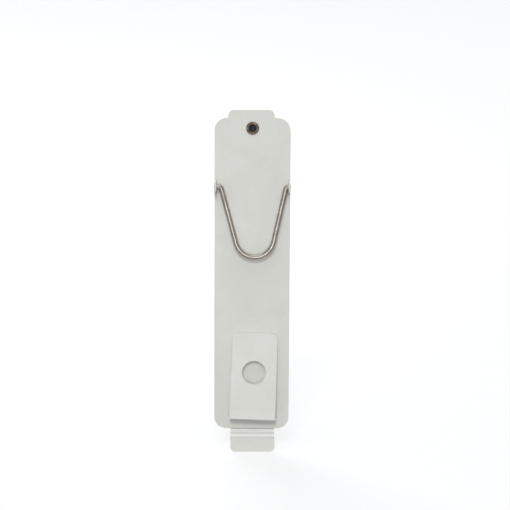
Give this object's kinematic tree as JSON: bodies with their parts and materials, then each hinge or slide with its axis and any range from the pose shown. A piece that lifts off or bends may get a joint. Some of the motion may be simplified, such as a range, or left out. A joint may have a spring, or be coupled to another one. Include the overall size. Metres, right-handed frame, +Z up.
{
  "type": "water bottle bracket",
  "caption": "Coated sheet steel bracket that hangs on a tank wall or cage, with a folding shelf for the bottle's tube and a swinging wire bail.",
  "frame": {"origin": "centre of the underside of the hanger clip's bridge, where it sits on the wall's rim", "axes": "+Z up along the plate, -Y out of the plate's face towards the bottle, +X to the right seen from the bottle"},
  "size_m": [0.0514, 0.0274, 0.2323],
  "materials": {
    "coated_plate": "satin warm white powder coat",
    "coated_clip": "satin warm white powder coat",
    "coated_shelf": "satin warm white powder coat",
    "rivet_metal": "dull bronze plated, rolled over",
    "plated_wire": "bright drawn wire, nickel plated",
    "pin_steel": "plain zinc plated wire"
  },
  "bodies": {
    "bracket": {"back_plate": "coated_plate", "hanger_clip": "coated_clip", "tubular_rivet": "rivet_metal"},
    "clip_leg": {"hanger_clip_leg": "coated_clip"},
    "bail": {"wire_bail": "plated_wire"},
    "shelf": {"bottle_shelf": "coated_shelf", "shelf_hinge_pin": "pin_steel"}
  },
  "joints": [
    {"name": "clip_flex", "type": "hinge", "parent": "bracket", "child": "clip_leg", "pos_m": [0, 0.004, 0.0012], "axis": [1, 0, 0], "range_deg": [0, 8], "stiffness_Nm_per_rad": 6, "springref_deg": -2.01},
    {"name": "bail_swing", "type": "hinge", "parent": "bracket", "child": "bail", "pos_m": [0, -0.0136, -0.0474], "axis": [-1, 0, 0], "range_deg": [0, 180]},
    {"name": "shelf_fold", "type": "hinge", "parent": "bracket", "child": "shelf", "pos_m": [0.0006, -0.0138, -0.2022], "axis": [0.9994, 0, -0.0349], "range_deg": [0, 95.6]}
  ]
}
